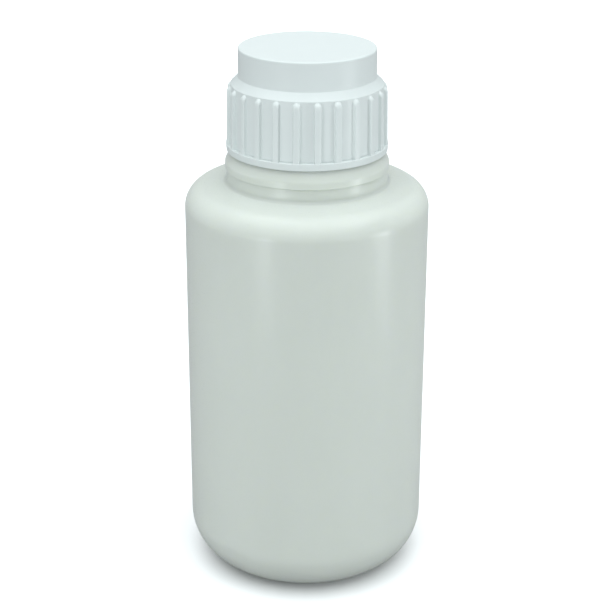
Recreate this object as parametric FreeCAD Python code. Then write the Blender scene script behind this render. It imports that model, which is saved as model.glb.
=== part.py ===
import FreeCAD, Part
import math
import os
from collections import namedtuple

# One-litre plastic reagent bottle: a blow-moulded body, a ribbed screw cap and the gasket in the cap.
# Millimetres and degrees. +Z is up, and the origin is the middle of the ring that the bottle stands on.

Vector = FreeCAD.Vector
UP = Vector(0, 0, 1)

# Body
BODY_DIAMETER = 97.0
BODY_WALL = 2.4
BASE_CORNER_RADIUS = 19.7
BASE_CHORDS = 6
SHOULDER_CORNER_HEIGHT = 161.85
SHOULDER_RADIUS = 9.0
SHOULDER_CHORDS = 4
SHOULDER_SLOPE = 10.0

# Pushed-up panel in the base, inside the standing ring
STANDING_RING_WIDTH = 3.2
PANEL_RISE = 3.0
PANEL_FLANK_WIDTH = 7.0

# Neck: a plain band, then a ring under the cap
NECK_STEP = 6.9
NECK_WALL = 3.0
NECK_BAND_HEIGHT = 4.9
NECK_CHAMFER = 2.5
RING_OVERHANG = 0.7
RING_HEIGHT = 3.3
RING_SLOPE_WIDTH = 1.95
RING_SLOPE_HEIGHT = 3.95
THROAT_HEIGHT = 6.0

# Mouth: a round bore, a finish that carries the thread, and a plain lip above it
MOUTH_BORE_DIAMETER = 41.0
FINISH_WALL = 4.3
FINISH_HEIGHT = 25.5
LIP_WALL = 3.1
LIP_HEIGHT = 10.8

# Gasket, which lies on the lip under the cap
GASKET_THICKNESS = 2.0
GASKET_INSET = 1.0
GASKET_OVERHANG = 0.5

# Cap
SKIRT_WALL = 3.0
SKIRT_DRAFT = 0.9
SLOPE_ANGLE = 45.0
SLOPE_WALL = 2.8
CROWN_WALL = 2.6
CROWN_CHAMFER = 0.6
TOP_WALL = 2.8
FLANGE_HEIGHT = 2.8
FLANGE_OVERHANG = 0.25
RIM_CHAMFER = 0.85

# Grip ribs round the cap's skirt
RIB_COUNT = 24
RIB_HEIGHT = 1.4
RIB_TOP_WIDTH = 2.2
RIB_FOOT_WIDTH = 2.9
RIB_DOME_CHORDS = 4
RIB_END_DROP = 2.2
RIB_TOP_GAP = 0.3
RIB_ROOT_DEPTH = 0.4

# Clearances between the cap and what it fits over
THREAD_ROOM = 2.1
LIP_CLEARANCE = 0.8
STEP_CLEARANCE = 0.4
RIM_GAP = 0.5

# Radii, which follow from the mouth outwards
body_radius = BODY_DIAMETER / 2
bore_radius = MOUTH_BORE_DIAMETER / 2
lip_radius = bore_radius + LIP_WALL
finish_radius = bore_radius + FINISH_WALL
neck_radius = finish_radius + NECK_STEP
neck_inner_radius = neck_radius - NECK_WALL
ring_radius = neck_radius + RING_OVERHANG
crown_bore_radius = lip_radius + LIP_CLEARANCE
crown_radius = crown_bore_radius + CROWN_WALL
cap_bore_radius = finish_radius + THREAD_ROOM
groove_top_radius = cap_bore_radius + SKIRT_WALL

# The bottle's sloping shoulder
shoulder_tangent = math.tan(math.radians(SHOULDER_SLOPE))
shoulder_drop = BODY_WALL / math.cos(math.radians(SHOULDER_SLOPE))


def shoulder_height(radius):
    """Height of the outside of the bottle's shoulder at a radius."""
    return SHOULDER_CORNER_HEIGHT + (body_radius - radius) * shoulder_tangent


# Heights, which follow from the base upwards
neck_foot_height = shoulder_height(neck_radius)
ring_foot_height = neck_foot_height + NECK_BAND_HEIGHT
ring_edge_height = ring_foot_height + RING_HEIGHT
ring_top_height = ring_edge_height + RING_SLOPE_HEIGHT
finish_top_height = ring_top_height + FINISH_HEIGHT
mouth_height = finish_top_height + LIP_HEIGHT
ceiling_height = mouth_height + GASKET_THICKNESS
cap_top_height = ceiling_height + TOP_WALL
rim_height = ring_top_height + RIM_GAP
flange_height = rim_height + FLANGE_HEIGHT

# The cap's sloping shoulder: its inner face clears the finish, and its outer face lies one wall away
slope_tangent = math.tan(math.radians(SLOPE_ANGLE))
slope_rise = SLOPE_WALL / math.cos(math.radians(SLOPE_ANGLE))
step_height = finish_top_height + STEP_CLEARANCE


def slope_height(radius):
    """Height of the inside of the cap's sloping shoulder at a radius."""
    return step_height + (cap_bore_radius - radius) * slope_tangent


# The cap's skirt widens downwards by its draft
slope_foot_height = slope_height(groove_top_radius) + slope_rise
crown_foot_height = slope_height(crown_radius) + slope_rise
skirt_tangent = math.tan(math.radians(SKIRT_DRAFT))
groove_foot_radius = groove_top_radius + (slope_foot_height - flange_height) * skirt_tangent
flange_radius = groove_foot_radius + RIB_HEIGHT + FLANGE_OVERHANG

# A corner of an outline, with the radius of its rounding, which is cut as equal chords to keep facets few
Corner = namedtuple("Corner", "x y rounding chords", defaults=(0, 1))

# Roundings take at most this share of the straight run between them
LONGEST_SHARE = 0.98


def arc_points(start, centre, end, chords):
    """Points from start to end on an arc about its centre."""
    spoke = start - centre
    axis = spoke.cross(end - centre)
    turn = math.degrees(spoke.getAngle(end - centre))
    return [centre + FreeCAD.Rotation(axis, turn * i / chords).multVec(spoke) for i in range(chords + 1)]


def rounded_outline(corners):
    """Closed wire through the corners in the XY plane."""
    count = len(corners)
    points = [Vector(corner.x, corner.y, 0) for corner in corners]
    runs = [points[(i + 1) % count] - points[i] for i in range(count)]
    halves = [(runs[i - 1] * -1).getAngle(runs[i]) / 2 for i in range(count)]
    cuts = [corner.rounding / math.tan(half) for corner, half in zip(corners, halves)]
    outline = []
    for i in range(count):
        if not cuts[i]:
            outline.append(points[i])
            continue
        room_back = runs[i - 1].Length / (cuts[i - 1] + cuts[i])
        room_ahead = runs[i].Length / (cuts[i] + cuts[(i + 1) % count])
        cut = cuts[i] * min(1, LONGEST_SHARE * room_back, LONGEST_SHARE * room_ahead)
        back = Vector(runs[i - 1]).normalize() * -cut
        ahead = Vector(runs[i]).normalize() * cut
        centre = points[i] + (back + ahead).normalize() * (cut / math.cos(halves[i]))
        outline += arc_points(points[i] + back, centre, points[i] + ahead, corners[i].chords)
    return Part.makePolygon(outline + outline[:1])


def turned(corners):
    """Solid turned about Z, from corners whose x is a radius and y a height."""
    face = Part.Face(rounded_outline(corners))
    face.rotate(Vector(0, 0, 0), Vector(1, 0, 0), 90)
    return face.revolve(Vector(0, 0, 0), UP, 360)


def make_bottle():
    """Blow-moulded bottle: one wall from the pushed-up base to the lip."""
    inner_radius = body_radius - BODY_WALL
    panel_edge = body_radius - BASE_CORNER_RADIUS - STANDING_RING_WIDTH
    panel_radius = panel_edge - PANEL_FLANK_WIDTH
    outside = [
        Corner(0, PANEL_RISE),
        Corner(panel_radius, PANEL_RISE),
        Corner(panel_edge, 0),
        Corner(body_radius, 0, BASE_CORNER_RADIUS, BASE_CHORDS),
        Corner(body_radius, SHOULDER_CORNER_HEIGHT, SHOULDER_RADIUS, SHOULDER_CHORDS),
        Corner(neck_radius, neck_foot_height, NECK_CHAMFER),
        Corner(neck_radius, ring_foot_height),
        Corner(ring_radius, ring_foot_height),
        Corner(ring_radius, ring_edge_height),
        Corner(ring_radius - RING_SLOPE_WIDTH, ring_top_height),
        Corner(finish_radius, ring_top_height),
        Corner(finish_radius, finish_top_height),
        Corner(lip_radius, finish_top_height + finish_radius - lip_radius),
        Corner(lip_radius, mouth_height),
    ]
    shoulder_inside = shoulder_height(inner_radius) - shoulder_drop
    neck_inside = shoulder_height(neck_inner_radius) - shoulder_drop
    inside = [
        Corner(bore_radius, mouth_height),
        Corner(bore_radius, ring_top_height),
        Corner(neck_inner_radius, ring_top_height - THROAT_HEIGHT),
        Corner(neck_inner_radius, neck_inside),
        Corner(inner_radius, shoulder_inside, SHOULDER_RADIUS - BODY_WALL, SHOULDER_CHORDS),
        Corner(inner_radius, BODY_WALL, BASE_CORNER_RADIUS - BODY_WALL, BASE_CHORDS),
        Corner(panel_edge, BODY_WALL),
        Corner(panel_radius, PANEL_RISE + BODY_WALL),
        Corner(0, PANEL_RISE + BODY_WALL),
    ]
    return turned(outside + inside)


def rib_outline(height):
    """Closed outline of a rib's sides and domed end, at a height over the skirt, with which it leans in."""
    share = height / RIB_HEIGHT
    half_width = (RIB_FOOT_WIDTH + (RIB_TOP_WIDTH - RIB_FOOT_WIDTH) * share) / 2
    end_height = slope_foot_height - RIB_TOP_GAP - RIB_END_DROP * share
    dome = Vector(0, 0, end_height - half_width)
    side = Vector(0, half_width, 0)
    foot = Vector(0, 0, flange_height)
    points = [foot - side]
    for i in range(RIB_DOME_CHORDS + 1):
        points.append(dome - FreeCAD.Rotation(Vector(1, 0, 0), -180 * i / RIB_DOME_CHORDS).multVec(side))
    points.append(foot + side)
    for point in points:
        point.x = groove_foot_radius + height - (point.z - flange_height) * skirt_tangent
    return Part.makePolygon(points + points[:1])


def make_rib():
    """One grip rib at angle zero, with a sloping end and its root sunk in the skirt's wall."""
    return Part.makeLoft([rib_outline(-RIB_ROOT_DEPTH), rib_outline(RIB_HEIGHT)], True, True)


def make_cap():
    """Injection-moulded screw cap: ribbed skirt, sloping shoulder and hollow crown."""
    shell = turned(
        [
            Corner(flange_radius - RIM_CHAMFER, rim_height),
            Corner(flange_radius, flange_height),
            Corner(groove_foot_radius, flange_height),
            Corner(groove_top_radius, slope_foot_height),
            Corner(crown_radius, crown_foot_height),
            Corner(crown_radius, cap_top_height, CROWN_CHAMFER),
            Corner(0, cap_top_height),
            Corner(0, ceiling_height),
            Corner(crown_bore_radius, ceiling_height),
            Corner(crown_bore_radius, slope_height(crown_bore_radius)),
            Corner(cap_bore_radius, step_height),
            Corner(cap_bore_radius, rim_height),
        ]
    )
    pitch = 360 / RIB_COUNT
    ribs = []
    for i in range(RIB_COUNT):
        rib = make_rib()
        rib.rotate(Vector(0, 0, 0), UP, pitch * (i + 0.5))
        ribs.append(rib)
    return shell.fuse(ribs).removeSplitter()


def make_gasket():
    """Flat elastic ring that lies on the bottle's lip, under the cap's ceiling."""
    inner_radius = bore_radius - GASKET_INSET
    outer_radius = lip_radius + GASKET_OVERHANG
    return turned(
        [
            Corner(inner_radius, mouth_height),
            Corner(outer_radius, mouth_height),
            Corner(outer_radius, ceiling_height),
            Corner(inner_radius, ceiling_height),
        ]
    )


def main():
    pieces = {
        "bottle_body": make_bottle(),
        "screw_cap": make_cap(),
        "cap_gasket": make_gasket(),
    }
    os.makedirs("parts", exist_ok=True)
    for name, shape in pieces.items():
        shape.exportStep(f"parts/{name}.step")
        print(name, len(shape.Solids), shape.isValid(), round(shape.Volume / 1000, 2), "cm3")


main()
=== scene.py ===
import math
from collections import namedtuple

import bmesh
import bpy
from bpy.props import FloatProperty, FloatVectorProperty, IntProperty, PointerProperty
from mathutils import Matrix, Vector


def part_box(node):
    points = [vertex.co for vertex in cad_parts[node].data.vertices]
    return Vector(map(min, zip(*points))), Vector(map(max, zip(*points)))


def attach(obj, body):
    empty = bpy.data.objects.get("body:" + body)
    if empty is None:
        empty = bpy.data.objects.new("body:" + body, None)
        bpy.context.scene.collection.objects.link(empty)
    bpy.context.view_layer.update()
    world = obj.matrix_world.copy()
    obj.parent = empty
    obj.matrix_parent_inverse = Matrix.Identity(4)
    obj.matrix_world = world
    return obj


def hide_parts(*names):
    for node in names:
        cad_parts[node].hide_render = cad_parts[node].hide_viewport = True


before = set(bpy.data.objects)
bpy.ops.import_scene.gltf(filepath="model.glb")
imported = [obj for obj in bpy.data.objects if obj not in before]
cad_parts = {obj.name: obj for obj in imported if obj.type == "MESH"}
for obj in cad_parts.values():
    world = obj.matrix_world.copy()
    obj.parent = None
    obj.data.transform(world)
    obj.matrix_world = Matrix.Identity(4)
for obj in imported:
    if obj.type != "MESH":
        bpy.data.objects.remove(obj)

bl_info = {
    "name": "Reagent bottle",
    "version": (1, 0, 0),
    "blender": (4, 5, 0),
    "location": "3D View > Sidebar > Reagent bottle",
    "description": "Makes a one-litre plastic reagent bottle, its screw cap and gasket, and a stage",
    "category": "Add Mesh",
}

MM = 0.001
ORIGIN = (0, 0, 0)
UP = (0, 0, 1)
FULL_TURN = 2 * math.pi

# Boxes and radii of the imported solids, which the pieces are fitted to
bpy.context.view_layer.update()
BOTTLE_LOW, BOTTLE_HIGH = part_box("bottle_body")
CAP_LOW, CAP_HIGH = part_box("screw_cap")
GASKET_LOW, GASKET_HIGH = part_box("cap_gasket")
BOTTLE_RADIUS = (BOTTLE_HIGH.x - BOTTLE_LOW.x) / 2
CAP_RADIUS = (CAP_HIGH.x - CAP_LOW.x) / 2
GASKET_RADIUS = (GASKET_HIGH.x - GASKET_LOW.x) / 2

# How finely round things are divided: in a full turn, a rib's end, a bevel and an arc
ROUND_STEPS = 192
THREAD_STEPS = 96
FLOOR_STEPS = 96
DOME_STEPS = 16
BEVEL_STEPS = 4
ARC_STEP = math.radians(5)
FEWEST_ARC_STEPS = 3

# Points that are closer than this count as one
WELD = 1e-6

# Faces that meet at less than this are shaded as one surface
SMOOTH_ANGLE = math.radians(40)

# Most of a noise texture's values lie between these
NOISE_LOW = 0.3
NOISE_HIGH = 0.7

# A corner of an outline and the radius of its rounding
Corner = namedtuple("Corner", "place rounding", defaults=(0,))


def length(name, description, default):
    """A length that the sidebar shows in the scene's units."""
    return FloatProperty(
        name=name,
        description=description,
        default=default,
        min=0,
        precision=5,
        unit="LENGTH",
    )


def angle(name, description, degrees):
    """An angle that the sidebar shows in degrees."""
    default = math.radians(degrees)
    return FloatProperty(name=name, description=description, default=default, subtype="ANGLE")


def number(name, description, default, least=0, unit="NONE"):
    """A number with a least value."""
    return FloatProperty(name=name, description=description, default=default, min=least, unit=unit)


def point(name, description, default):
    """A place in the bottle's frame."""
    return FloatVectorProperty(
        name=name,
        description=description,
        default=default,
        subtype="TRANSLATION",
    )


def rectangle(name, description, default):
    """A width and a height."""
    return FloatVectorProperty(
        name=name,
        description=description,
        default=default,
        size=2,
        min=0,
        unit="LENGTH",
    )


def colour(name, description, default):
    """A colour in linear light."""
    return FloatVectorProperty(
        name=name,
        description=description,
        default=default,
        min=0,
        max=1,
        subtype="COLOR",
    )


class BottleSizes(bpy.types.PropertyGroup):
    """Sizes of the blow-moulded bottle."""

    radius: length("Radius", "Outside of the straight wall", BOTTLE_RADIUS)
    wall: length("Wall", "Thickness of the body's wall", 2.4 * MM)
    base_rounding: length("Base rounding", "Radius of the corner at the base", 19.7 * MM)
    ring_width: length("Standing ring", "Width of the flat ring that the bottle stands on", 3.2 * MM)
    panel_rise: length("Panel rise", "Height of the pushed-up panel in the base", 3.0 * MM)
    panel_flank: length("Panel flank", "Width of the slope round the panel", 7.0 * MM)
    seam_length: length("Seam length", "Length of the pinched seam across the panel", 30.0 * MM)
    seam_width: length("Seam width", "Width of the pinched seam", 1.6 * MM)
    seam_height: length("Seam height", "Height of the pinched seam", 0.6 * MM)
    shoulder_corner: length("Shoulder corner", "Height where wall and shoulder would meet", 161.85 * MM)
    shoulder_rounding: length("Shoulder rounding", "Radius between wall and shoulder", 9.0 * MM)
    shoulder_slope: angle("Shoulder slope", "Rise of the shoulder towards the neck", 10.0)
    neck_radius: length("Neck radius", "Outside of the plain band of the neck", 31.9 * MM)
    neck_wall: length("Neck wall", "Thickness of the neck's wall", 3.0 * MM)
    neck_band: length("Neck band", "Height of the plain band of the neck", 5.5 * MM)
    collar_overhang: length("Collar overhang", "How far the collar stands out from the neck", 0.5 * MM)
    collar_height: length("Collar height", "Height of the collar's upright face", 2.7 * MM)
    collar_slope_width: length("Collar slope width", "Width of the slope on the collar", 1.95 * MM)
    collar_slope_height: length("Collar slope height", "Height of the slope on the collar", 4.25 * MM)
    throat_height: length("Throat height", "Height of the funnel between neck and mouth", 6.0 * MM)
    bore_radius: length("Bore radius", "Inside of the mouth", 20.5 * MM)
    finish_wall: length("Finish wall", "Thickness of the wall that carries the thread", 4.3 * MM)
    finish_height: length("Finish height", "Height of the wall that carries the thread", 25.2 * MM)
    lip_wall: length("Lip wall", "Thickness of the plain lip", 3.1 * MM)


class BottleEdges(bpy.types.PropertyGroup):
    """Roundings of the bottle's finer edges and creases."""

    seam: length("Seam", "Edges of the pinched seam", 0.48 * MM)
    panel: length("Panel", "Edge of the pushed-up panel", 6.0 * MM)
    ring: length("Ring", "Inner edge of the standing ring", 2.0 * MM)
    neck_foot: length("Neck foot", "Crease between shoulder and neck", 1.6 * MM)
    collar_crease: length("Collar crease", "Crease under the collar", 0.24 * MM)
    collar_foot: length("Collar foot", "Lower edge of the collar", 0.24 * MM)
    collar_edge: length("Collar edge", "Edge between the collar's face and its slope", 3.0 * MM)
    collar_top: length("Collar top", "Upper edge of the collar's slope", 0.6 * MM)
    finish_foot: length("Finish foot", "Crease at the foot of the threaded wall", 0.8 * MM)
    finish_top: length("Finish top", "Edge and crease between the threaded wall and the lip", 0.5 * MM)
    lip: length("Lip", "Both edges of the lip", 0.6 * MM)
    throat_top: length("Throat top", "Edge between the mouth and the funnel under it", 4.0 * MM)
    throat_foot: length("Throat foot", "Crease between the funnel and the neck", 2.0 * MM)
    neck_inside: length("Neck inside", "Edge between neck and shoulder on the inside", 3.0 * MM)
    panel_inside: length("Panel inside", "Both ends of the slope round the panel on the inside", 4.0 * MM)


class CapSizes(bpy.types.PropertyGroup):
    """Sizes of the injection-moulded screw cap."""

    flange_radius: length("Flange radius", "Outside of the flange round the rim", CAP_RADIUS)
    flange_height: length("Flange height", "Height of the flange", 2.8 * MM)
    flange_taper: length("Flange taper", "How far the flange draws in towards the rim", 0.2 * MM)
    flange_overhang: length("Flange overhang", "How far the flange stands out from the ribs", 0.25 * MM)
    flange_strip: length("Flange strip", "Outer strip of the flange's top, which is rounded off", 0.2 * MM)
    rib_count: IntProperty(name="Ribs", description="Number of grip ribs", default=24, min=3)
    rib_height: length("Rib height", "How far a rib stands out of the skirt", 1.4 * MM)
    rib_top_width: length("Rib top width", "Width of a rib's face", 2.2 * MM)
    rib_foot_width: length("Rib foot width", "Width of a rib where it leaves the skirt", 2.9 * MM)
    rib_edge: length("Rib edge", "Rounding along a rib's edges", 0.45 * MM)
    rib_root: length("Rib root", "Fillet between a rib and the skirt", 0.25 * MM)
    rib_end_drop: length("Rib end drop", "Fall of a rib's round end from the skirt to its face", 1.6 * MM)
    rib_top_gap: length("Rib top gap", "Room between a rib's end and the slope over it", 0.05 * MM)
    skirt_draft: angle("Skirt draft", "Lean of the skirt", 0.9)
    slope_height: length("Slope height", "Height of the slope between skirt and crown", 2.9 * MM)
    slope_rounding: length("Slope rounding", "Rounding between skirt and slope", 0.4 * MM)
    crown_radius: length("Crown radius", "Outside of the crown at its foot", 27.0 * MM)
    crown_height: length("Crown height", "Height of the crown over the slope", 11.34 * MM)
    crown_taper: length("Crown taper", "How far the crown draws in towards its top", 0.08 * MM)
    bore_radius: length("Bore radius", "Inside of the skirt", 26.9 * MM)
    crown_wall: length("Crown wall", "Thickness of the crown's wall", 2.6 * MM)
    step_height: length("Step height", "Height of the bore over the rim", 25.4 * MM)
    rim_chamfer: length("Rim chamfer", "Chamfer that leads from the rim into the bore", 0.9 * MM)


class CapEdges(bpy.types.PropertyGroup):
    """Roundings of the cap's finer edges and creases."""

    crown_foot: length("Crown foot", "Crease between slope and crown", 0.5 * MM)
    crown_top: length("Crown top", "Edge of the crown's flat top", 0.7 * MM)
    flange: length("Flange", "Upper edge of the flange", 0.18 * MM)
    rim: length("Rim", "Outer edge of the rim", 0.4 * MM)
    chamfer_foot: length("Chamfer foot", "Edge between the rim and its chamfer", 0.2 * MM)
    chamfer_top: length("Chamfer top", "Edge between the chamfer and the bore", 0.4 * MM)
    bore: length("Bore", "Creases and edge inside the cap", 0.5 * MM)


class ThreadSizes(bpy.types.PropertyGroup):
    """Sizes of the right-hand thread on the neck and in the cap."""

    pitch: length("Pitch", "Rise of the thread in one turn", 6.35 * MM)
    turns: number("Turns", "Turns of each ridge", 2.0, least=0.5)
    neck_foot: length("Neck foot", "Height of the neck ridge's lower end over the collar", 8.7 * MM)
    neck_depth: length("Neck depth", "How far the neck ridge stands out", 1.6 * MM)
    cap_depth: length("Cap depth", "How far the cap ridge stands in", 1.7 * MM)
    foot_width: length("Foot width", "Width of a ridge at its foot", 2.8 * MM)
    top_width: length("Top width", "Width of a ridge at its top", 1.2 * MM)
    sunk: length("Sunk", "How far a ridge is sunk into its wall", 0.5 * MM)
    fade: angle("Fade", "Turn over which a ridge's end fades away", 30.0)


class GasketSizes(bpy.types.PropertyGroup):
    """Sizes of the elastic ring in the cap."""

    width: length("Width", "Width of the ring", 4.6 * MM)
    rounding: length("Rounding", "Rounding of the ring's edges", 0.4 * MM)


class Finishes(bpy.types.PropertyGroup):
    """Colours of the pieces and the floor."""

    bottle: colour("Bottle", "Natural plastic of the bottle", (0.655, 0.69, 0.64))
    bottle_cloud: colour("Bottle cloud", "Thinner drifts in the bottle's plastic", (0.63, 0.665, 0.615))
    cap: colour("Cap", "White plastic of the cap", (0.71, 0.755, 0.745))
    cap_cloud: colour("Cap cloud", "Drifts in the cap's plastic", (0.69, 0.735, 0.725))
    gasket: colour("Gasket", "Rubber of the gasket", (0.62, 0.64, 0.63))
    gasket_bloom: colour("Gasket bloom", "Paler bloom on the rubber", (0.70, 0.72, 0.71))
    floor: colour("Floor", "Floor and backdrop, as the camera sees them", (1.0, 1.0, 1.0))
    floor_bounce: colour("Floor bounce", "Floor, as it lights the bottle", (0.36, 0.36, 0.36))


class StageSettings(bpy.types.PropertyGroup):
    """Camera, lights and floor."""

    distance: length("Distance", "From the camera to its target", 0.6742)
    target_height: length("Target height", "Height of the camera's target on the bottle's axis", 0.10973)
    target_side: length("Target side", "How far the camera's target is to the right", 0.22 * MM)
    pitch: angle("Pitch", "How far the camera looks down", 22.11)
    roll: angle("Roll", "How far the camera is turned about its own axis", 0.24)
    lens: number("Lens", "Focal length of the camera", 96.6, least=1, unit="CAMERA")
    light: colour("Light", "Cool white of the lights", (0.93, 0.98, 1.0))
    ambient: number("Ambient", "Strength of the light all round", 0.36)
    sun: number("Sun", "Strength of the broad light above", 3.05)
    sun_tilt: angle("Sun tilt", "How far the broad light leans towards the camera", 8.0)
    sun_spread: angle("Sun spread", "Angle that the broad light fills", 80.0)
    box_target: point("Box target", "Place that the soft boxes face", (0, 0, 0.15))
    front_place: point("Front place", "Middle of the soft box over the camera", (0, -1.0, 0.62))
    front_size: rectangle("Front size", "Size of the soft box over the camera", (0.7, 0.4))
    front_power: number("Front power", "Power of the soft box over the camera", 1.1, unit="POWER")
    back_place: point("Back place", "Middle of the soft box behind", (0, 1.2, 0.22))
    back_size: rectangle("Back size", "Size of the soft box behind", (0.6, 0.4))
    back_power: number("Back power", "Power of the soft box behind", 3.0, unit="POWER")
    right_place: point("Right place", "Middle of the low soft box on the right", (0.46, -0.16, 0.07))
    right_size: rectangle("Right size", "Size of the low soft box on the right", (0.08, 0.14))
    right_power: number("Right power", "Power of the low soft box on the right", 0.6, unit="POWER")
    left_place: point("Left place", "Middle of the low soft box on the left", (-0.29, -0.39, 0.06))
    left_size: rectangle("Left size", "Size of the low soft box on the left", (0.06, 0.12))
    left_power: number("Left power", "Power of the low soft box on the left", 0.48, unit="POWER")
    floor_radius: length("Floor radius", "Radius of the floor", 12.0)


def near(first, second):
    """Whether two lengths are the same."""
    return abs(first - second) < WELD


def deselect_all():
    """Leaves edit mode and deselects every object."""
    if bpy.context.object and bpy.context.object.mode != "OBJECT":
        bpy.ops.object.mode_set(mode="OBJECT")
    bpy.ops.object.select_all(action="DESELECT")


def make_active(piece):
    """Selects this piece alone."""
    deselect_all()
    piece.select_set(True)
    bpy.context.view_layer.objects.active = piece


def apply_modifier(piece, kind, **settings):
    """Adds a modifier to the active piece, sets it up and applies it."""
    bpy.ops.object.modifier_add(type=kind)
    modifier = piece.modifiers[-1]
    for name, value in settings.items():
        setattr(modifier, name, value)
    bpy.ops.object.modifier_apply(modifier=modifier.name)


def extrude(step):
    """Extrudes what is selected in edit mode by a step, unless the step is nothing."""
    if step.length > WELD:
        bpy.ops.mesh.extrude_region_move(TRANSFORM_OT_translate={"value": step})


def sweep(corners):
    """Extrudes what is selected, at the first corner, along the others, and spins it round each rounding."""
    place = corners[0].place
    for corner, following in zip(corners[1:], corners[2:] + [None]):
        if not corner.rounding or following is None:
            extrude(corner.place - place)
            place = corner.place
            continue
        back = (place - corner.place).normalized()
        ahead = (following.place - corner.place).normalized()
        half = back.angle(ahead) / 2
        cut = corner.rounding / math.tan(half)
        centre = corner.place + (back + ahead).normalized() * (corner.rounding / math.sin(half))
        turn = math.pi - 2 * half
        steps = max(FEWEST_ARC_STEPS, math.ceil(turn / ARC_STEP))
        extrude(corner.place + back * cut - place)
        bpy.ops.mesh.spin(steps=steps, angle=turn, center=centre, axis=back.cross(ahead))
        place = corner.place + ahead * cut


def draw(name, corners):
    """New piece, in edit mode, whose mesh is one chain of edges through the corners."""
    deselect_all()
    bpy.ops.mesh.primitive_plane_add(size=MM)
    piece = bpy.context.object
    piece.name = name
    bpy.ops.object.mode_set(mode="EDIT")
    bpy.ops.mesh.select_mode(type="VERT")
    bpy.ops.mesh.merge(type="CENTER")
    bpy.ops.transform.translate(value=corners[0].place)
    sweep(corners)
    return piece


def weld():
    """Merges doubles and turns all faces outwards, in edit mode."""
    bpy.ops.mesh.select_all(action="SELECT")
    bpy.ops.mesh.remove_doubles(threshold=WELD)
    bpy.ops.mesh.normals_make_consistent(inside=False)


def turn_round(name, corners):
    """Closed piece turned about Z from an outline of corners."""
    piece = draw(name, corners)
    weld()
    bpy.ops.mesh.spin(steps=ROUND_STEPS, angle=FULL_TURN, center=ORIGIN, axis=UP)
    weld()
    bpy.ops.object.mode_set(mode="OBJECT")
    return piece


def select_edges(piece, *lines):
    """Selects, in edit mode, the edges whose two ends are both on one of the lines."""
    bpy.ops.mesh.select_all(action="DESELECT")
    bpy.ops.mesh.select_mode(type="EDGE")
    mesh = bmesh.from_edit_mesh(piece.data)
    for edge in mesh.edges:
        edge.select_set(any(all(on_line(vertex.co) for vertex in edge.verts) for on_line in lines))
    bmesh.update_edit_mesh(piece.data)


def select_point(piece, place):
    """Selects, in edit mode, the vertex at a place."""
    bpy.ops.mesh.select_all(action="DESELECT")
    bpy.ops.mesh.select_mode(type="VERT")
    mesh = bmesh.from_edit_mesh(piece.data)
    nearest = min(mesh.verts, key=lambda vertex: (vertex.co - place).length)
    nearest.select_set(True)
    bmesh.update_edit_mesh(piece.data)


def round_off(piece, low, surface, reach, drop):
    """Lowers what is over a height, in edit mode, by a quarter ellipse out along -Y from a surface."""
    mesh = bmesh.from_edit_mesh(piece.data)
    for vertex in mesh.verts:
        if vertex.co.z > low - WELD:
            share = min(1, max(0, (surface - vertex.co.y) / reach))
            vertex.co.z -= drop * (1 - math.sqrt(1 - share * share))
    bmesh.update_edit_mesh(piece.data)


def unite(piece, addition):
    """Fuses another closed piece into this one."""
    make_active(piece)
    apply_modifier(piece, "BOOLEAN", operation="UNION", solver="MANIFOLD", object=addition)
    bpy.data.objects.remove(addition)


def finish(piece, material, node, body):
    """Shades a piece, gives it its material and puts it in its node's place."""
    make_active(piece)
    bpy.ops.object.shade_smooth_by_angle(angle=SMOOTH_ANGLE)
    apply_modifier(piece, "WEIGHTED_NORMAL", keep_sharp=True)
    piece.data.materials.clear()
    piece.data.materials.append(material)
    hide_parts(node)
    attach(piece, body)


def upright(radius, height, rounding=0):
    """Corner of an outline that is turned about Z."""
    return Corner(Vector((radius, 0, height)), rounding)


def thread_ridge(name, wall_radius, depth, foot, thread):
    """Helical ridge on a wall, outwards for a positive depth and inwards for a negative one."""
    root = wall_radius - math.copysign(thread.sunk, depth)
    top = wall_radius + depth
    outline = [
        upright(root, foot - thread.foot_width / 2),
        upright(top, foot - thread.top_width / 2),
        upright(top, foot + thread.top_width / 2),
        upright(root, foot + thread.foot_width / 2),
        upright(root, foot - thread.foot_width / 2),
    ]
    ridge = draw(name, outline)
    weld()
    bpy.ops.object.mode_set(mode="OBJECT")
    steps = round(THREAD_STEPS * thread.turns)
    apply_modifier(
        ridge,
        "SCREW",
        axis="Z",
        angle=FULL_TURN * thread.turns,
        screw_offset=thread.pitch * thread.turns,
        steps=steps,
        render_steps=steps,
    )
    fade_ends(ridge, root, foot, thread)
    make_active(ridge)
    bpy.ops.object.mode_set(mode="EDIT")
    bpy.ops.mesh.select_all(action="SELECT")
    bpy.ops.mesh.fill_holes(sides=0)
    weld()
    bpy.ops.object.mode_set(mode="OBJECT")
    return ridge


def fade_ends(ridge, root, foot, thread):
    """Draws both ends of a helical ridge back to its root."""
    for vertex in ridge.data.vertices:
        radius = vertex.co.xy.length
        bearing = math.atan2(vertex.co.y, vertex.co.x) / FULL_TURN
        turns = bearing + round((vertex.co.z - foot) / thread.pitch - bearing)
        left = FULL_TURN * min(turns, thread.turns - turns)
        share = min(1, max(0, left / thread.fade))
        vertex.co.xy *= (root + (radius - root) * share) / radius


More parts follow.
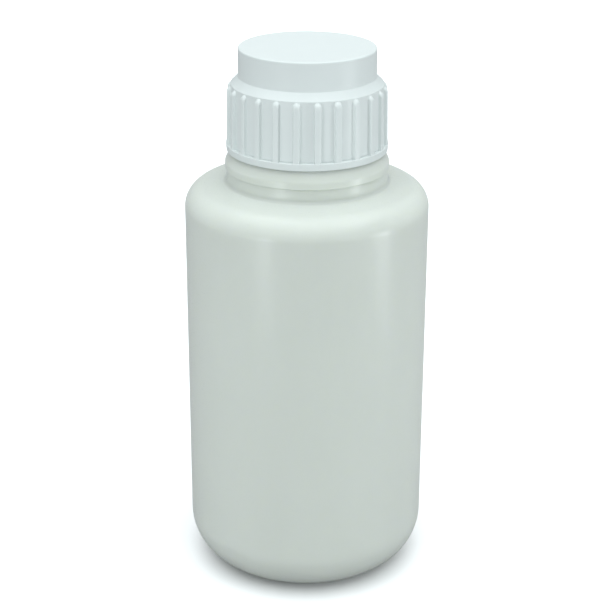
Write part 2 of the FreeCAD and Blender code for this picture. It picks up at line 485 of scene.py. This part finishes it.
class BottlePlan:
    """Radii and heights of the bottle that follow from its sizes."""

    def __init__(self, sizes):
        self.sizes = sizes
        self.panel_edge = sizes.radius - sizes.base_rounding - sizes.ring_width
        self.panel_radius = self.panel_edge - sizes.panel_flank
        self.body_inside = sizes.radius - sizes.wall
        self.neck_inside = sizes.neck_radius - sizes.neck_wall
        self.collar_radius = sizes.neck_radius + sizes.collar_overhang
        self.finish_radius = sizes.bore_radius + sizes.finish_wall
        self.lip_radius = sizes.bore_radius + sizes.lip_wall
        self.neck_foot = self.shoulder_height(sizes.neck_radius)
        self.collar_foot = self.neck_foot + sizes.neck_band
        self.collar_edge = self.collar_foot + sizes.collar_height
        self.collar_top = self.collar_edge + sizes.collar_slope_height
        self.finish_top = self.collar_top + sizes.finish_height
        self.lip_foot = self.finish_top + self.finish_radius - self.lip_radius

    def shoulder_height(self, radius):
        """Height of the outside of the shoulder at a radius."""
        rise = (self.sizes.radius - radius) * math.tan(self.sizes.shoulder_slope)
        return self.sizes.shoulder_corner + rise


class MakeBottle(bpy.types.Operator):
    """Make the blow-moulded bottle with its threaded neck"""

    bl_idname = "reagent_bottle.make_bottle"
    bl_label = "Bottle"

    def execute(self, context):
        scene = context.scene
        edges = scene.bottle_edges
        thread = scene.thread_sizes
        plan = BottlePlan(scene.bottle_sizes)
        bottle = turn_round("moulded_bottle", self.outside(plan, edges) + self.inside(plan, edges))
        ridge_foot = plan.collar_top + thread.neck_foot
        unite(bottle, thread_ridge("neck_ridge", plan.finish_radius, thread.neck_depth, ridge_foot, thread))
        unite(bottle, self.pinched_seam(plan.sizes, edges))
        finish(bottle, natural_plastic(scene.finishes), "bottle_body", "bottle")
        return {"FINISHED"}

    def outside(self, plan, edges):
        """Corners from the middle of the base up the outside to the lip."""
        sizes = plan.sizes
        return [
            upright(0, sizes.panel_rise),
            upright(plan.panel_radius, sizes.panel_rise, edges.panel),
            upright(plan.panel_edge, 0, edges.ring),
            upright(sizes.radius, 0, sizes.base_rounding),
            upright(sizes.radius, sizes.shoulder_corner, sizes.shoulder_rounding),
            upright(sizes.neck_radius, plan.neck_foot, edges.neck_foot),
            upright(sizes.neck_radius, plan.collar_foot, edges.collar_crease),
            upright(plan.collar_radius, plan.collar_foot, edges.collar_foot),
            upright(plan.collar_radius, plan.collar_edge, edges.collar_edge),
            upright(plan.collar_radius - sizes.collar_slope_width, plan.collar_top, edges.collar_top),
            upright(plan.finish_radius, plan.collar_top, edges.finish_foot),
            upright(plan.finish_radius, plan.finish_top, edges.finish_top),
            upright(plan.lip_radius, plan.lip_foot, edges.finish_top),
            upright(plan.lip_radius, BOTTLE_HIGH.z, edges.lip),
        ]

    def inside(self, plan, edges):
        """Corners from the lip down the inside to the middle of the base."""
        sizes = plan.sizes
        drop = sizes.wall / math.cos(sizes.shoulder_slope)
        neck_foot = plan.shoulder_height(plan.neck_inside) - drop
        shoulder_corner = plan.shoulder_height(plan.body_inside) - drop
        panel_top = sizes.panel_rise + sizes.wall
        return [
            upright(sizes.bore_radius, BOTTLE_HIGH.z, edges.lip),
            upright(sizes.bore_radius, plan.collar_top, edges.throat_top),
            upright(plan.neck_inside, plan.collar_top - sizes.throat_height, edges.throat_foot),
            upright(plan.neck_inside, neck_foot, edges.neck_inside),
            upright(plan.body_inside, shoulder_corner, sizes.shoulder_rounding - sizes.wall),
            upright(plan.body_inside, sizes.wall, sizes.base_rounding - sizes.wall),
            upright(plan.panel_edge, sizes.wall, edges.panel_inside),
            upright(plan.panel_radius, panel_top, edges.panel_inside),
            upright(0, panel_top),
        ]

    def pinched_seam(self, sizes, edges):
        """Rounded bead across the base, half sunk in the panel, where the mould pinched the plastic shut."""
        bead = (sizes.seam_length, sizes.seam_width, 2 * sizes.seam_height)
        deselect_all()
        bpy.ops.mesh.primitive_cube_add(size=1, location=(0, 0, sizes.panel_rise), scale=bead)
        bpy.ops.object.transform_apply(location=True, rotation=False, scale=True)
        bpy.ops.object.mode_set(mode="EDIT")
        bpy.ops.mesh.bevel(offset=edges.seam, segments=BEVEL_STEPS, affect="EDGES")
        bpy.ops.object.mode_set(mode="OBJECT")
        return bpy.context.object


class CapPlan:
    """Radii and heights of the cap that follow from its sizes."""

    def __init__(self, sizes):
        self.sizes = sizes
        self.rib_radius = sizes.flange_radius - sizes.flange_overhang
        self.groove_radius = self.rib_radius - sizes.rib_height
        self.half_pitch = math.pi * self.groove_radius / sizes.rib_count
        self.flange_top = CAP_LOW.z + sizes.flange_height
        self.ledge_radius = sizes.flange_radius - sizes.flange_strip
        self.crown_foot = CAP_HIGH.z - sizes.crown_height
        self.slope_foot = self.crown_foot - sizes.slope_height
        self.skirt_top = self.slope_foot - sizes.slope_rounding / 2
        self.rib_foot = sizes.rib_foot_width / 2
        self.rib_top = sizes.rib_top_width / 2
        root_angle = math.pi - math.atan2(sizes.rib_height, self.rib_foot - self.rib_top)
        self.dome_radius = self.rib_foot + sizes.rib_root / math.tan(root_angle / 2)
        self.dome_foot = self.skirt_top - sizes.rib_top_gap - self.dome_radius
        self.lean = (self.dome_foot - self.flange_top) * math.tan(sizes.skirt_draft)
        self.skirt_radius = self.groove_radius - self.lean
        self.crown_bore = sizes.crown_radius - sizes.crown_wall
        self.step = CAP_LOW.z + sizes.step_height

    def flat(self, across, radius, height, rounding=0):
        """Corner on the unrolled cap, where a radius lies along -Y."""
        return Corner(Vector((across, self.groove_radius - radius, height)), rounding)


class MakeCap(bpy.types.Operator):
    """Make the ribbed screw cap from one rib and its share of the round"""

    bl_idname = "reagent_bottle.make_cap"
    bl_label = "Cap"

    def execute(self, context):
        scene = context.scene
        edges = scene.cap_edges
        plan = CapPlan(scene.cap_sizes)
        cap = self.rib(plan)
        self.skirt(cap, plan)
        self.crown(cap, plan, edges)
        self.ledge(cap, plan)
        self.flange_and_bore(cap, plan, edges)
        self.wrap(cap, plan)
        unite(cap, self.ridge(plan.sizes, BottlePlan(scene.bottle_sizes), scene.thread_sizes))
        finish(cap, white_plastic(scene.finishes), "screw_cap", "cap")
        return {"FINISHED"}

    def rib(self, plan):
        """One rib with a domed end and the grooves beside it, unrolled flat."""
        sizes = plan.sizes
        half = plan.half_pitch
        low = plan.flange_top
        cap = draw(
            "ribbed_cap",
            [
                plan.flat(-half, plan.groove_radius, low),
                plan.flat(-plan.rib_foot, plan.groove_radius, low, sizes.rib_root),
                plan.flat(-plan.rib_top, plan.rib_radius, low, sizes.rib_edge),
                plan.flat(0, plan.rib_radius, low),
                plan.flat(plan.rib_top, plan.rib_radius, low, sizes.rib_edge),
                plan.flat(plan.rib_foot, plan.groove_radius, low, sizes.rib_root),
                plan.flat(half, plan.groove_radius, low),
            ],
        )
        bpy.ops.mesh.select_all(action="SELECT")
        extrude(Vector((0, plan.lean, plan.dome_foot - low)))
        dome_centre = (0, 0, plan.dome_foot)
        outwards = (0, -1, 0)
        select_edges(cap, lambda co: near(co.z, plan.dome_foot) and -plan.dome_radius - WELD < co.x < WELD)
        bpy.ops.mesh.spin(steps=DOME_STEPS, angle=math.pi, center=dome_centre, axis=outwards)
        weld()
        round_off(cap, plan.dome_foot, plan.lean, sizes.rib_height, sizes.rib_end_drop)
        return cap

    def skirt(self, cap, plan):
        """The skirt round the rib's domed end, up to the slope."""
        half = plan.half_pitch
        low = plan.dome_foot
        high = plan.skirt_top
        select_point(cap, Vector((-half, plan.lean, low)))
        sweep(
            [
                plan.flat(-half, plan.skirt_radius, low),
                plan.flat(-half, plan.skirt_radius, high),
                plan.flat(half, plan.skirt_radius, high),
                plan.flat(half, plan.skirt_radius, low),
            ]
        )
        weld()
        quarter = DOME_STEPS // 4
        for side in (-half, half):
            select_edges(cap, lambda co: near(co.x, side) and co.z > low - WELD)
            bpy.ops.mesh.subdivide(number_cuts=quarter - 1)
        select_edges(cap, lambda co: near(co.z, high))
        bpy.ops.mesh.subdivide(number_cuts=2 * quarter - 1)

        def on_dome(co):
            return co.z > low - WELD and near(math.hypot(co.x, co.z - low), plan.dome_radius)

        def on_frame(co):
            return co.z > low - WELD and (near(abs(co.x), half) or near(co.z, high))

        select_edges(cap, on_dome, on_frame)
        bpy.ops.mesh.bridge_edge_loops()

    def crown(self, cap, plan, edges):
        """The slope over the ribs and the crown, swept up to the axis."""
        sizes = plan.sizes
        select_edges(cap, lambda co: near(co.z, plan.skirt_top))
        sweep(
            [
                plan.flat(0, plan.skirt_radius, plan.skirt_top),
                plan.flat(0, plan.skirt_radius, plan.slope_foot, sizes.slope_rounding),
                plan.flat(0, sizes.crown_radius, plan.crown_foot, edges.crown_foot),
                plan.flat(0, sizes.crown_radius - sizes.crown_taper, CAP_HIGH.z, edges.crown_top),
                plan.flat(0, 0, CAP_HIGH.z),
            ]
        )

    def select_ledge_edge(self, cap, plan):
        """Selects, in edit mode, the outer edge of the ledge under the ribs."""
        outer = plan.groove_radius - plan.ledge_radius
        select_edges(cap, lambda co: near(co.z, plan.flange_top) and near(co.y, outer))

    def ledge(self, cap, plan):
        """The ledge under the ribs, on top of the flange."""
        half = plan.half_pitch
        low = plan.flange_top
        select_point(cap, Vector((-half, 0, low)))
        sweep(
            [
                plan.flat(-half, plan.groove_radius, low),
                plan.flat(-half, plan.ledge_radius, low),
                plan.flat(half, plan.ledge_radius, low),
                plan.flat(half, plan.groove_radius, low),
            ]
        )
        weld()
        self.select_ledge_edge(cap, plan)
        bpy.ops.mesh.subdivide(number_cuts=DOME_STEPS // 2 - 1)
        select_edges(cap, lambda co: near(co.z, low))
        bpy.ops.mesh.edge_face_add()

    def flange_and_bore(self, cap, plan, edges):
        """The flange, rim, bore and ceiling, swept from the ledge to the axis."""
        sizes = plan.sizes
        chamfer = sizes.rim_chamfer
        bore_top = plan.step + sizes.bore_radius - plan.crown_bore
        self.select_ledge_edge(cap, plan)
        sweep(
            [
                plan.flat(0, plan.ledge_radius, plan.flange_top),
                plan.flat(0, sizes.flange_radius, plan.flange_top, edges.flange),
                plan.flat(0, sizes.flange_radius - sizes.flange_taper, CAP_LOW.z, edges.rim),
                plan.flat(0, sizes.bore_radius + chamfer, CAP_LOW.z, edges.chamfer_foot),
                plan.flat(0, sizes.bore_radius, CAP_LOW.z + chamfer, edges.chamfer_top),
                plan.flat(0, sizes.bore_radius, plan.step, edges.bore),
                plan.flat(0, plan.crown_bore, bore_top, edges.bore),
                plan.flat(0, plan.crown_bore, GASKET_HIGH.z, edges.bore),
                plan.flat(0, 0, GASKET_HIGH.z),
            ]
        )
        weld()
        bpy.ops.object.mode_set(mode="OBJECT")

    def wrap(self, cap, plan):
        """Bends the flat share to its angle and repeats it all the way round."""
        pitch = FULL_TURN / plan.sizes.rib_count
        apply_modifier(cap, "SIMPLE_DEFORM", deform_method="BEND", deform_axis="Z", angle=pitch)
        bpy.ops.object.mode_set(mode="EDIT")
        bpy.ops.mesh.select_all(action="SELECT")
        bpy.ops.transform.translate(value=(0, -plan.groove_radius, 0))
        bpy.ops.transform.rotate(value=pitch / 2, orient_axis="Z", center_override=ORIGIN)
        copies = plan.sizes.rib_count - 1
        bpy.ops.mesh.spin(steps=copies, dupli=True, angle=FULL_TURN - pitch, center=ORIGIN, axis=UP)
        weld()
        bpy.ops.object.mode_set(mode="OBJECT")

    def ridge(self, sizes, bottle_plan, thread):
        """The cap's thread, half a pitch below the neck's."""
        foot = bottle_plan.collar_top + thread.neck_foot - thread.pitch / 2
        return thread_ridge("cap_ridge", sizes.bore_radius, -thread.cap_depth, foot, thread)


class MakeGasket(bpy.types.Operator):
    """Make the elastic ring between the lip and the cap"""

    bl_idname = "reagent_bottle.make_gasket"
    bl_label = "Gasket"

    def execute(self, context):
        scene = context.scene
        sizes = scene.gasket_sizes
        outer = GASKET_RADIUS
        inner = outer - sizes.width
        middle = (outer + inner) / 2
        gasket = turn_round(
            "sealing_ring",
            [
                upright(middle, GASKET_LOW.z),
                upright(outer, GASKET_LOW.z, sizes.rounding),
                upright(outer, GASKET_HIGH.z, sizes.rounding),
                upright(inner, GASKET_HIGH.z, sizes.rounding),
                upright(inner, GASKET_LOW.z, sizes.rounding),
                upright(middle, GASKET_LOW.z),
            ],
        )
        finish(gasket, gasket_rubber(scene.finishes), "cap_gasket", "gasket")
        return {"FINISHED"}


def new_material(name):
    """Material with its node tree and its shader."""
    material = bpy.data.materials.new(name)
    material.use_nodes = True
    return material, material.node_tree, material.node_tree.nodes["Principled BSDF"]


def set_values(node, values):
    """Sets inputs of a node that are the same all over the surface."""
    for name, value in values.items():
        node.inputs[name].default_value = value


def set_links(tree, node, sources):
    """Links inputs of a node to what drives them."""
    for name, source in sources.items():
        tree.links.new(source, node.inputs[name])


def noise(tree, scale, detail, stretch=(1, 1, 1)):
    """Noise texture over the piece, stretched along its axes."""
    coordinates = tree.nodes.new("ShaderNodeTexCoord")
    mapping = tree.nodes.new("ShaderNodeMapping")
    texture = tree.nodes.new("ShaderNodeTexNoise")
    set_values(mapping, {"Scale": stretch})
    set_values(texture, {"Scale": scale, "Detail": detail})
    set_links(tree, mapping, {"Vector": coordinates.outputs["Object"]})
    set_links(tree, texture, {"Vector": mapping.outputs["Vector"]})
    return texture.outputs["Fac"]


def between(tree, amount, first, second):
    """Colour between two, by an amount."""
    mix = tree.nodes.new("ShaderNodeMix")
    mix.data_type = "RGBA"
    set_values(mix, {"A": (*first, 1), "B": (*second, 1)})
    set_links(tree, mix, {"Factor": amount})
    return mix.outputs["Result"]


def spread(tree, texture, low, high):
    """Number between two, by a noise texture."""
    span = tree.nodes.new("ShaderNodeMapRange")
    set_values(span, {"From Min": NOISE_LOW, "From Max": NOISE_HIGH, "To Min": low, "To Max": high})
    set_links(tree, span, {"Value": texture})
    return span.outputs["Result"]


def bump(tree, texture, depth, under=None):
    """Bump of a depth in metres, over another bump where one is given."""
    node = tree.nodes.new("ShaderNodeBump")
    set_values(node, {"Strength": 1, "Distance": depth})
    set_links(tree, node, {"Height": texture})
    if under:
        set_links(tree, node, {"Normal": under})
    return node.outputs["Normal"]


def natural_plastic(finishes):
    """Milky natural plastic that lets light through, with drifts and the mould's fine grain."""
    material, tree, shader = new_material("natural_plastic")
    drift = noise(tree, scale=60, detail=3, stretch=(1, 1, 0.35))
    waves = noise(tree, scale=90, detail=1, stretch=(1, 1, 0.3))
    grain = noise(tree, scale=2600, detail=2)
    sources = {
        "Base Color": between(tree, drift, finishes.bottle, finishes.bottle_cloud),
        "Roughness": spread(tree, grain, low=0.27, high=0.33),
        "Normal": bump(tree, grain, depth=0.012 * MM, under=bump(tree, waves, depth=0.05 * MM)),
    }
    values = {
        "Subsurface Weight": 1,
        "Subsurface Radius": (1.0, 1.0, 0.85),
        "Subsurface Scale": 4 * MM,
        "IOR": 1.5,
        "Specular IOR Level": 0.3,
    }
    set_links(tree, shader, sources)
    set_values(shader, values)
    return material


def white_plastic(finishes):
    """Opaque white moulded plastic with a satin skin."""
    material, tree, shader = new_material("white_plastic")
    drift = noise(tree, scale=80, detail=3)
    grain = noise(tree, scale=3200, detail=2)
    sources = {
        "Base Color": between(tree, drift, finishes.cap, finishes.cap_cloud),
        "Roughness": spread(tree, grain, low=0.36, high=0.46),
        "Normal": bump(tree, grain, depth=0.01 * MM),
    }
    values = {
        "Subsurface Weight": 0.3,
        "Subsurface Radius": (1.0, 1.0, 1.0),
        "Subsurface Scale": 0.6 * MM,
        "Specular IOR Level": 0.25,
    }
    set_links(tree, shader, sources)
    set_values(shader, values)
    return material


def gasket_rubber(finishes):
    """Pale matt rubber with a faint bloom."""
    material, tree, shader = new_material("gasket_rubber")
    bloom = noise(tree, scale=400, detail=4)
    grain = noise(tree, scale=5000, detail=2)
    sources = {
        "Base Color": between(tree, bloom, finishes.gasket, finishes.gasket_bloom),
        "Roughness": spread(tree, bloom, low=0.62, high=0.78),
        "Normal": bump(tree, grain, depth=0.02 * MM),
    }
    set_links(tree, shader, sources)
    return material


def floor_paint(finishes):
    """Matt floor paint, pale to the camera and dimmer in the light that it throws back."""
    material, tree, shader = new_material("floor_paint")
    path = tree.nodes.new("ShaderNodeLightPath")
    paint = between(tree, path.outputs["Is Camera Ray"], finishes.floor_bounce, finishes.floor)
    set_links(tree, shader, {"Base Color": paint})
    set_values(shader, {"Roughness": 0.9, "Specular IOR Level": 0.1})
    return material


class MakeStage(bpy.types.Operator):
    """Make the floor, the lights and the camera"""

    bl_idname = "reagent_bottle.make_stage"
    bl_label = "Stage"

    def execute(self, context):
        scene = context.scene
        settings = scene.stage_settings
        self.floor(settings, scene.finishes)
        self.broad_light(settings)
        self.soft_boxes(settings)
        self.surroundings(scene, settings)
        self.camera(scene, settings)
        scene.view_settings.view_transform = "Standard"
        return {"FINISHED"}

    def floor(self, settings, finishes):
        """A wide floor under the bottle."""
        deselect_all()
        bpy.ops.mesh.primitive_circle_add(
            vertices=FLOOR_STEPS,
            radius=settings.floor_radius,
            fill_type="NGON",
        )
        floor = bpy.context.object
        floor.name = "floor"
        floor.data.materials.append(floor_paint(finishes))

    def broad_light(self, settings):
        """A broad soft light overhead."""
        deselect_all()
        bpy.ops.object.light_add(type="SUN", location=UP, rotation=(settings.sun_tilt, 0, 0))
        sun = bpy.context.object
        sun.name = "broad_light"
        sun.data.energy = settings.sun
        sun.data.color = settings.light
        sun.data.angle = settings.sun_spread

    def soft_boxes(self, settings):
        """A soft box on each side. Reflections don't show the one behind, so edges stand out from white."""
        for side in ("front", "back", "right", "left"):
            deselect_all()
            middle = getattr(settings, f"{side}_place")
            turn = (middle - settings.box_target).to_track_quat("Z", "Y").to_euler()
            bpy.ops.object.light_add(type="AREA", location=middle, rotation=turn)
            box = bpy.context.object
            box.name = f"{side}_box"
            box.data.shape = "RECTANGLE"
            box.data.size, box.data.size_y = getattr(settings, f"{side}_size")
            box.data.energy = getattr(settings, f"{side}_power")
            box.data.color = settings.light
            box.visible_glossy = side != "back"

    def surroundings(self, scene, settings):
        """An even pale light from all round, and a white backdrop past the floor."""
        world = bpy.data.worlds.new("studio")
        world.use_nodes = True
        tree = world.node_tree
        path = tree.nodes.new("ShaderNodeLightPath")
        glow = [settings.ambient * channel for channel in settings.light]
        backdrop = between(tree, path.outputs["Is Camera Ray"], glow, scene.finishes.floor)
        set_links(tree, tree.nodes["Background"], {"Color": backdrop})
        scene.world = world

    def camera(self, scene, settings):
        """A camera at the photograph's viewing angle."""
        deselect_all()
        target = Vector((settings.target_side, 0, settings.target_height))
        away = Matrix.Rotation(-settings.pitch, 3, "X") @ Vector((0, -settings.distance, 0))
        turn = away.to_track_quat("Z", "Y") @ Matrix.Rotation(settings.roll, 3, "Z").to_quaternion()
        bpy.ops.object.camera_add(location=target + away, rotation=turn.to_euler())
        camera = bpy.context.object
        camera.name = "camera"
        camera.data.lens = settings.lens
        scene.camera = camera


class BottlePanel(bpy.types.Panel):
    """Sizes, finishes and buttons of the reagent bottle"""

    bl_idname = "VIEW3D_PT_reagent_bottle"
    bl_label = "Reagent bottle"
    bl_space_type = "VIEW_3D"
    bl_region_type = "UI"
    bl_category = "Reagent bottle"

    def draw(self, context):
        for operator in OPERATORS:
            self.layout.operator(operator.bl_idname)
        for name in SETTINGS:
            group = getattr(context.scene, name)
            box = self.layout.box()
            box.label(text=name.replace("_", " ").capitalize())
            for key in group.bl_rna.properties.keys():
                if key not in {"rna_type", "name"}:
                    box.prop(group, key)


SETTINGS = {
    "bottle_sizes": BottleSizes,
    "bottle_edges": BottleEdges,
    "cap_sizes": CapSizes,
    "cap_edges": CapEdges,
    "thread_sizes": ThreadSizes,
    "gasket_sizes": GasketSizes,
    "finishes": Finishes,
    "stage_settings": StageSettings,
}
OPERATORS = (MakeBottle, MakeCap, MakeGasket, MakeStage)
CLASSES = (*SETTINGS.values(), *OPERATORS, BottlePanel)


def register():
    """Registers the classes and gives the scene its settings."""
    for kind in CLASSES:
        bpy.utils.register_class(kind)
    for name, kind in SETTINGS.items():
        setattr(bpy.types.Scene, name, PointerProperty(type=kind))


def unregister():
    """Takes away what register adds."""
    for name in SETTINGS:
        delattr(bpy.types.Scene, name)
    for kind in reversed(CLASSES):
        bpy.utils.unregister_class(kind)


def main():
    """Makes the pieces and the stage."""
    register()
    bpy.ops.reagent_bottle.make_bottle()
    bpy.ops.reagent_bottle.make_cap()
    bpy.ops.reagent_bottle.make_gasket()
    bpy.ops.reagent_bottle.make_stage()


if __name__ == "__main__":
    main()
